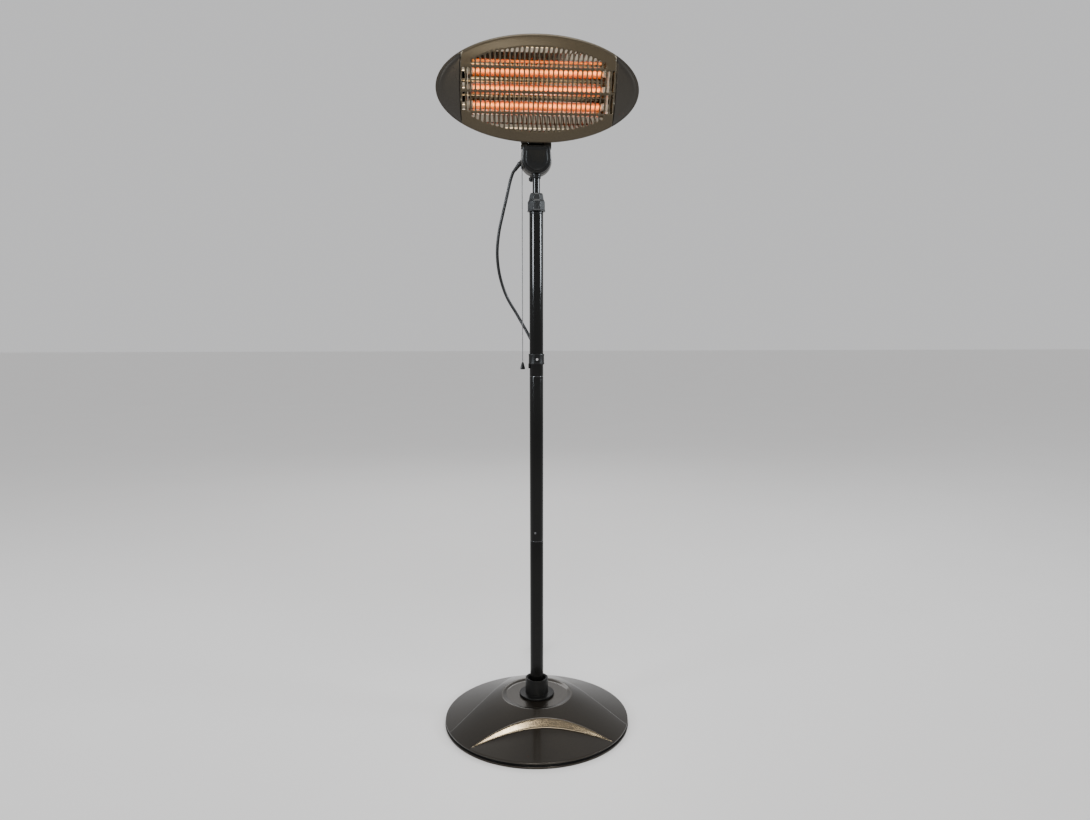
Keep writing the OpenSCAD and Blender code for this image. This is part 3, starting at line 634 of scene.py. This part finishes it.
def add_neck():
    line = [(2.5, -4.2), (0.1, -4.2), (-0.1, -5), (0.7, -15.5), (1.2, -17.8), (2.2, -19.3), (3.6, -19.9),
            (8, -20), (8.5, -20.6), (9.4, -20.7), (10.1, -20), (10.7, -19.7)]
    front = neck_rings(line, NECK_R)
    turns = [2 * pi * k / NECK_POINTS for k in range(NECK_POINTS)]
    for a, b, y in ((23, 13.5, -19.7), (22, 12.6, -19.2), (12, 7, -19.0)):
        front.append([(a * cos(t), y, 1482.5 + b * sin(t)) for t in turns])
    cover = loft("neck_cover", front)
    place("neck_cover", cover, "black_plastic", "riser", ["neck_front_cover"], "black_plastic", 40)
    rear = loft("neck_body", neck_rings([(5, -3.9), (3.2, -3.9), (3, -3.2), (0, 14), (0.5, 18.4), (1.8, 20.6),
                                         (4, 21.8), (8, 22)], NECK_BACK_R))
    ears = []
    for side in (-1, 1):
        profile = [(3.1, 20.4), (9.9, 20.4), (9.9, 39), (6.3, 39), (6.3, 34.4), (3.1, 34.4)]
        ears.append(aimed(lathe("ear", profile, 0.6, 64), TILT_AXIS, (side, 0, 0)))
        x = sorted((side * 20.4, side * 39))
        for y in (TILT_AXIS[1] - 9.9, TILT_AXIS[1] + 6.4):
            ears.append(block("ear_foot", x, (y, y + 3.5), (NECK_TOP_Z - 3, TILT_AXIS[2])))
    body = joined("neck_body", [rear, *ears])
    shell = place("neck_body", body, "neck_side", "riser", ["neck_rear_shell"], "black_plastic", 40)
    bevelled(shell, 0.8, 2, 60)
    profile = [(9.5, 1452), (11.2, 1452), (12, 1454.6), (11.5, 1455.6), (11.5, 1457.4), (12.4, 1459),
               (12.4, 1482), (9.5, 1482)]
    socket = lathe("socket", profile, 0.7, 96)
    place("socket", socket, "black_plastic", "riser", ["neck_socket"], "black_plastic")
    length = (Vector(LEAD_ROUTE[0]) - GLAND_START).length
    profile = [(1.5, -6), (4.5, -6), (4.5, 2), (6.1, 2), (6.1, 4.3, 0.8), (5.7, 4.8, 0.8)]
    for k in range(4):
        at = 8 + k * 3.6
        profile += [(5.6 - 0.24 * k, at, 0.3), (4.9 - 0.2 * k, at + 0.6, 0.3), (4.9 - 0.2 * k, at + 1.6, 0.3),
                    (5.5 - 0.24 * k, at + 2.2, 0.3)]
    profile += [(4.6, length, 0.4), (1.5, length)]
    gland = aimed(lathe("gland", profile, 0.3, 48), GLAND_START, Vector(LEAD_ROUTE[0]) - GLAND_START)
    place("gland", gland, "rubber", "riser", ["cord_gland"], "lead_rubber")


def add_pull_knob():
    profile = [(0.1, 964.2), (4.4, 964, 1.5), (6.3, 965.2, 1.5), (6.3, 968.4, 1.5), (4.3, 975),
               (2.6, 981.6, 1), (2.0, 982.9, 0.7), (0.1, 983)]
    knob = lathe("knob", profile, 0.8, 48)
    knob.transform(Matrix.Translation((PULL_X, PULL_Y, 0)))
    return place("knob", knob, "black_plastic", "pull", ["pull_knob"], "black_plastic")


# ---- head ----

SLOT_PITCH = 11.8
SLOT_HALF = 3.9
SEAM_END = 82
SLOT_ROWS = ((-97, -56.5), (-51.5, -7), (-2, 47.5), (52.5, 97))


def slots():
    """(x, low, high) of every slot, about the face's centre."""
    out = []
    for i in range(32):
        x = (i - 15.5) * SLOT_PITCH
        half = 97 * sqrt(1 - (x / 216) ** 2)
        for low, high in SLOT_ROWS:
            low, high = max(low, -half), min(high, half)
            if high - low > 2 * SLOT_HALF:
                out.append((x, low, high))
    return out


def slot_loop(x, low, high, grow):
    """Points round a slot, widened by grow."""
    r = SLOT_HALF + grow
    low, high = low + SLOT_HALF, high - SLOT_HALF
    points = [(x + r * cos(a), high + r * sin(a)) for a in (pi * k / 8 for k in range(9))]
    sides = max(1, round((high - low) / 7))
    points += [(x - r, high + (low - high) * k / sides) for k in range(1, sides)]
    points += [(x + r * cos(a), low + r * sin(a)) for a in (pi + pi * k / 8 for k in range(9))]
    points += [(x + r, low + (high - low) * k / sides) for k in range(1, sides)]
    return points


def seam(z):
    """Half width of the middle panel at height z: its sides bow out a little."""
    return PANEL_HALF - 2.5 * (z / 80) ** 2


def face_depth(x, z, cap):
    """Depth of the head's face behind its foremost plane."""
    rho = hypot(x / HEAD_A, z / HEAD_B)
    depth = 6.4 * min(rho, 1) ** 2
    edge = max(0, (1 - rho) * HEAD_B)
    roll = 11 if cap else 5
    if edge < roll:
        depth += roll - sqrt(max(0, roll ** 2 - (roll - edge) ** 2))
    if cap:
        depth += 2
        inner = max(0, abs(x) - seam(z) - 0.7)
    else:
        inner = max(0, seam(z) - abs(x))
    if inner < 2.4:
        depth += 2.4 - sqrt(max(0, 2.4 ** 2 - (2.4 - inner) ** 2))
    return min(depth, 11.4)


def arc_between(x0, x1, upper):
    """Points on the head's elliptical outline from x0 to x1, in line with the points of the edge rings."""
    a0, a1 = acos(max(-1, min(1, x0 / HEAD_A))), acos(max(-1, min(1, x1 / HEAD_A)))
    step = 2 * pi / RIM_POINTS
    low, high = min(a0, a1), max(a0, a1)
    angles = [k * step for k in range(ceil(low / step + 0.3), floor(high / step - 0.3) + 1)]
    angles = [low] + angles + [high]
    if a0 > a1:
        angles.reverse()
    sign = 1 if upper else -1
    return [(HEAD_A * cos(a), sign * HEAD_B * sin(a)) for a in angles]


def cut_sheet(name, outline, holes, inside, cap):
    """Triangulates the sheet inside its outline and round its holes, then gives it depth and turns its rim
    back.
    """
    points = [Vector(p) for p in outline]
    edges = [(k, (k + 1) % len(outline)) for k in range(len(outline))]
    depths = {}
    for x, low, high in holes:
        for grow, drop in ((0, 1.0), (0.35, 0.35), (0.9, 0.0)):
            start = len(points)
            loop = slot_loop(x, low, high, grow)
            points += [Vector(p) for p in loop]
            edges += [(start + k, start + (k + 1) % len(loop)) for k in range(len(loop))]
            for k in range(len(loop)):
                depths[start + k] = drop
    points += [Vector(p) for p in inside]
    verts, _, faces, origin, _, _ = delaunay_2d_cdt(points, edges, [], 0, 1e-5)
    drops = [max([depths.get(i, 0) for i in near] or [0]) for near in origin]
    hull = [Vector(p) for p in outline]
    kept = [f for f in faces if keep_face([verts[i] for i in f], hull, holes)]
    solid = [(v.x, HEAD_FRONT + face_depth(v.x, v.y, cap) + drop, HEAD_CENTRE + v.y)
             for v, drop in zip(verts, drops)]
    bm = bmesh.new()
    made = [bm.verts.new(p) for p in solid]
    for f in kept:
        bm.faces.new([made[i] for i in f])
    for v in [v for v in made if not v.link_faces]:
        bm.verts.remove(v)
    bmesh.ops.recalc_face_normals(bm, faces=bm.faces)
    if sum(f.normal.y for f in bm.faces) > 0:
        bmesh.ops.reverse_faces(bm, faces=bm.faces)
    rim = [e for e in bm.edges if e.is_boundary and all(on_ellipse(v) for v in e.verts)]
    turned = bmesh.ops.extrude_edge_only(bm, edges=rim)
    for v in (g for g in turned["geom"] if isinstance(g, bmesh.types.BMVert)):
        v.co.y = HEAD_RIM - 0.3
    mesh = bpy.data.meshes.new(name)
    bm.to_mesh(mesh)
    bm.free()
    return mesh


def on_ellipse(v):
    return hypot(v.co.x / HEAD_A, (v.co.z - HEAD_CENTRE) / HEAD_B) > 0.9985


def keep_face(corners, outline, holes):
    c = sum(corners, Vector((0, 0))) / 3
    if hypot(c.x / HEAD_A, c.y / HEAD_B) > 1:
        return False
    if outline[0].x * outline[-1].x < 0 or len(holes):
        if abs(c.x) > seam(c.y):
            return False
    for x, low, high in holes:
        if abs(c.x - x) < SLOT_HALF and low < c.y < high:
            reach = min(c.y - low, high - c.y)
            if reach >= SLOT_HALF or hypot(c.x - x, SLOT_HALF - reach) < SLOT_HALF * 0.995:
                return False
    return True


def ring_points(fractions, test):
    angles = [2 * pi * k / RIM_POINTS for k in range(RIM_POINTS)]
    points = [(HEAD_A * f * cos(a), HEAD_B * f * sin(a)) for f in fractions for a in angles]
    return [(x, z) for x, z in points if test(x, z)]


EDGE_RINGS = (0.9988, 0.996, 0.991, 0.984, 0.974, 0.962, 0.947, 0.925, 0.9, 0.87, 0.84, 0.81)


def add_front_panel():
    holes = slots()
    top_x = seam(SEAM_END)
    side = [(seam(z), z) for z in (SEAM_END * (1 - k / 20) for k in range(1, 40))]
    outline = arc_between(-top_x, top_x, True) + side
    outline += arc_between(top_x, -top_x, False) + [(-x, -z) for x, z in side]
    end = HEAD_B * sqrt(1 - (top_x / HEAD_A) ** 2)
    outline = [p if abs(p[0]) < top_x - 0.01 or abs(abs(p[1]) - end) > 4 else p for p in outline]

    def clear(x, z):
        return abs(x) < seam(z) - 3 and all(abs(x - hx) > SLOT_HALF + 2 or z < low - 2 or z > high + 2
                                            for hx, low, high in holes)
    inside = ring_points(EDGE_RINGS, clear)
    inside += [(s * (seam(z) - d), z) for s in (-1, 1) for d in (0.5, 1.2, 2.2, 3.6)
               for z in (-78 + 156 * k / 60 for k in range(61))]
    mesh = cut_sheet("front", outline, holes, inside, False)
    finish_sheet(place("front", into_head(mesh), "bronze_head", "head", ["front_panel"], "bronze_paint", 40))


def finish_sheet(obj):
    mod = obj.modifiers.new("thickness", "SOLIDIFY")
    mod.thickness = 0.0009
    mod.offset = -1
    mod.use_even_offset = False


def add_end_cap(side):
    top_x = seam(SEAM_END) + 0.7
    arc = arc_between(top_x, HEAD_A, True)
    outline = arc + [(x, -z) for x, z in reversed(arc[:-1])]
    end = arc[0][1]
    outline += [(seam(z) + 0.7, z) for z in (-end + 2 * end * k / 44 for k in range(1, 44))]
    outline = [(side * x, z) for x, z in outline]
    inside = ring_points(EDGE_RINGS + (0.78, 0.75), lambda x, z: side * x > seam(z) + 4)
    inside += [(side * (seam(z) + 0.7 + d), z) for d in (0.5, 1.2, 2.2, 3.6)
               for z in (-76 + 152 * k / 60 for k in range(61))]
    name = "cap_right" if side > 0 else "cap_left"
    mesh = cut_sheet(name, outline, [], inside, True)
    node = "end_cap_right" if side > 0 else "end_cap_left"
    finish_sheet(place(name, into_head(mesh), "bronze_cap", "head", [node], "bronze_paint", 40))


def add_back_shell():
    """Domed shell behind the face, with a thin wall and a row of vents near the top."""
    n = 192

    def ring(t, inset, y0, depth):
        y = y0 + depth * sin(t)
        rho = cos(t)
        a, b = (HEAD_A - inset) * (0.35 + 0.65 * rho), (HEAD_B - inset) * rho
        return [(a * cos(k * 2 * pi / n), y, HEAD_CENTRE + b * sin(k * 2 * pi / n)) for k in range(n)]

    steps = [radians(a) for a in (0, 4, 9, 15, 21, 28, 35, 42, 49, 56, 62, 68, 73, 78, 82, 85, 87)]
    outer = [ring(t, 0.6, HEAD_RIM + 0.2, 65) for t in steps]
    inner = [ring(t, 2.0, HEAD_RIM + 0.2, 63.6) for t in reversed(steps)]
    mesh = loft("shell", outer + inner, close_ends=False, loop=False)
    bm = bmesh.new()
    bm.from_mesh(mesh)
    bm.verts.ensure_lookup_table()
    count = len(outer) + len(inner)
    first, last = [bm.verts[k] for k in range(n)], [bm.verts[(count - 1) * n + k] for k in range(n)]
    for k in range(n):
        bm.faces.new((first[k], last[k], last[(k + 1) % n], first[(k + 1) % n]))
    back, inside = (len(outer) - 1) * n, len(outer) * n
    bm.verts.ensure_lookup_table()
    between = range(back, inside + n)
    for f in [f for f in bm.faces if all(v.index in between for v in f.verts)]:
        bm.faces.remove(f)
    bm.faces.new([bm.verts[back + k] for k in range(n)])
    bm.faces.new([bm.verts[inside + k] for k in range(n)])
    bmesh.ops.recalc_face_normals(bm, faces=bm.faces)
    bm.to_mesh(mesh)
    bm.free()
    shell = place("shell", into_head(mesh), "bronze_head", "head", ["back_shell"], "bronze_paint", 40)
    cutters = [block("vent", (x - 2.2, x + 2.2), (10, 50), (HEAD_CENTRE + 20, HEAD_CENTRE + 46))
               for x in range(-66, 67, 12)]
    cutters.append(block("knuckle_gap", (-18.5, 18.5), (-9, 9), (0, 34)))
    tool = place("vent_tool", into_head(joined("vent_tool", cutters)), "bronze_head", None)
    mod = shell.modifiers.new("vents", "BOOLEAN")
    mod.object = tool
    mod.solver = "EXACT"
    bake(shell)
    bpy.data.objects.remove(tool)


def bake(obj):
    """Applies the object's modifiers to its mesh."""
    graph_now = bpy.context.evaluated_depsgraph_get()
    mesh = bpy.data.meshes.new_from_object(obj.evaluated_get(graph_now))
    obj.modifiers.clear()
    obj.data = mesh
    mesh.set_sharp_from_angle(angle=radians(40))


def add_reflector():
    """Polished sheet: three troughs behind the tubes, and two wings cut to the head's ellipse."""
    line = [(HEAD_FRONT + 8, -98), (HEAD_FRONT + 18, -82), (-12, -68)]
    for k in (-1, 0, 1):
        line += [(TUBE_DEPTH - 6 + 22.5 * cos(a), k * TUBE_PITCH + 22.5 * sin(a))
                 for a in (radians(-60 + 10 * j) for j in range(13))]
    line += [(-12, 68), (HEAD_FRONT + 18, 82), (HEAD_FRONT + 8, 98)]
    rings = []
    for j in range(61):
        x = -186 + 372 * j / 60
        reach = (HEAD_B - 9) * sqrt(1 - (x / (HEAD_A - 9)) ** 2)
        rings.append([(x, y, HEAD_CENTRE + max(-reach, min(reach, z))) for y, z in line])
    lip = HEAD_FRONT + 6
    rings = [[(x, lip, z) for x, _, z in rings[0]], *rings, [(x, lip, z) for x, _, z in rings[-1]]]
    n = len(line)
    verts = [p for ring in rings for p in ring]
    faces = [(i * n + k, i * n + k + 1, (i + 1) * n + k + 1, (i + 1) * n + k)
             for i in range(62) for k in range(n - 1)]
    obj = place("mirror", into_head(mesh_of("mirror", verts, faces)), "reflector", "head", ["reflector"],
                "mirror_sheet", 50)
    mod = obj.modifiers.new("thickness", "SOLIDIFY")
    mod.thickness = 0.0008
    mod.offset = 0


def add_tubes():
    """Quartz tubes with a wound wire inside."""
    for number, k in ((1, 1), (2, 0), (3, -1)):
        z = HEAD_CENTRE + k * TUBE_PITCH
        glass = lathe("glass", tube_profile(6, 5, -165, 165), 0.4, 40)
        glass.transform(Matrix.Translation((0, TUBE_DEPTH, z)) @ Matrix.Rotation(pi / 2, 4, "Y"))
        place(f"glass_{number}", into_head(glass), "quartz", "head", [f"quartz_tube_{number}"], "quartz")
        turns, per_turn = 92, 12
        wire = [Vector((-160 + 320 * i / (turns * per_turn), TUBE_DEPTH + 2.9 * cos(2 * pi * i / per_turn),
                        z + 2.9 * sin(2 * pi * i / per_turn))) for i in range(turns * per_turn + 1)]
        coil = sweep("coil", wire, 0.55, 6)
        node = f"heating_coil_{number}"
        place(f"coil_{number}", into_head(coil), "hot_wire", "head", [node], "hot_wire", 60)


def add_ceramics():
    caps = []
    for k in (-1, 0, 1):
        for side in (-1, 1):
            profile = [(3, 0), (6.05, 0), (9, 0, 0.8), (9, 10, 0.8), (7.5, 10.4), (7.5, 20, 1), (3, 20, 0.6)]
            start = (side * 160, TUBE_DEPTH, HEAD_CENTRE + k * TUBE_PITCH)
            caps.append(aimed(lathe("cap", profile, 0.5, 48), start, (side, 0, 0)))
    mesh = into_head(joined("ceramic_caps", caps))
    place("ceramic_caps", mesh, "ceramic", "head", ["ceramic_ends"], "ceramic")


# ---- plug ----


def add_plug():
    profile = [(0.1, 0), (4.6, 0), (5.6, 6), (5.2, 8), (6.4, 14), (6, 16), (7.6, 26, 2), (9.5, 28, 2),
               (12.6, 38, 2), (15.5, 41, 2), (18.4, 43, 2), (18.4, 56, 1.5), (16.4, 56), (16.4, 54.6),
               (14.6, 54.6), (14.6, 56), (0.1, 56)]
    body = aimed(lathe("plug", profile, 0.6, 64), PLUG_START, PLUG_DIRECTION)
    return place("plug", body, "rubber", "stand", ["plug_body"], "black_plastic")


# ---- put together ----

add_base_cover()
add_base_edge()
add_collar()
add_pole()
add_clip()
add_lock()
add_neck()
add_pull_cord(add_pull_knob())
add_front_panel()
add_end_cap(-1)
add_end_cap(1)
add_back_shell()
add_reflector()
add_tubes()
add_ceramics()
add_lead(add_plug())

paint("cement", "base_weight")
paint("steel", "base_bolt", "base_washer", "base_spacer", "pole_insert", "heat_shield")
paint("black_gloss", "neck_screws", "head_bracket", "tilt_bolt", "tilt_nut")
paint("bright_steel", "cable_clip_screw", "head_screws", "plug_pins")
paint("dark_steel", "pole_screws")
paint("holder", "tube_holder_left", "tube_holder_right")
paint("black_plastic", "riser_bush", "neck_knob", "pull_eyelet")
paint("white_plastic", "lock_collet", "pull_switch", "terminal_block")

# ---- floor and light ----


def add_floor():
    mesh = mesh_of("floor", [(-30, -30, 0), (30, -30, 0), (30, 30, 0), (-30, 30, 0)], [(0, 1, 2, 3)])
    mesh.materials.append(surface("floor", (0.82, 0.81, 0.8), 0.02, (0.5, 0.6), cloud=2, grain=60))
    floor = bpy.data.objects.new("floor", mesh)
    floor.location.z = -0.0005
    bpy.context.collection.objects.link(floor)


def add_lamp(name, place, target, size, power, colour=(1, 1, 1), spread=pi):
    data = bpy.data.lights.new(name, "AREA")
    data.shape = "RECTANGLE"
    data.size, data.size_y = size
    data.energy = power
    data.color = colour
    data.spread = spread
    lamp = bpy.data.objects.new(name, data)
    lamp.location = place
    lamp.rotation_euler = (Vector(target) - Vector(place)).to_track_quat("-Z", "Y").to_euler()
    bpy.context.collection.objects.link(lamp)


def add_light():
    world = bpy.data.worlds.new("studio")
    world.use_nodes = True
    world.node_tree.nodes["Background"].inputs[0].default_value = (0.93, 0.93, 0.94, 1)
    world.node_tree.nodes["Background"].inputs[1].default_value = 0.75
    bpy.context.scene.world = world
    add_lamp("above", (0.2, -1.6, 4.4), (0, 0, 0.9), (2.6, 1.6), 120)
    narrow = radians(36)  # keeps the side lamps off the glossy base
    add_lamp("left", (-2.6, -1.5, 2.1), (0, 0, 1.4), (0.85, 1.5), 12, (0.86, 0.93, 1), narrow)
    add_lamp("right", (2.9, -0.85, 2.1), (0, 0, 1.4), (0.8, 1.5), 12, (0.86, 0.93, 1), narrow)
    low = radians(16)  # lights the base and leaves the pole dark
    add_lamp("front_left", (-0.62, -2.9, 0.85), (0, 0, 0.05), (0.35, 0.35), 0.16, (1, 0.95, 0.85), low)
    add_lamp("front_right", (0.62, -2.9, 0.85), (0, 0, 0.05), (0.35, 0.35), 0.16, (1, 0.95, 0.85), low)
    add_lamp("head", (0, -3.2, 0.8), (0, 0, 1.74), (1.4, 0.3), 0.2, (1, 0.84, 0.58), low)
    add_lamp("back", (0, 3.2, 2.6), (0, 0, 0.4), (2.0, 0.9), 28)


add_floor()
add_light()
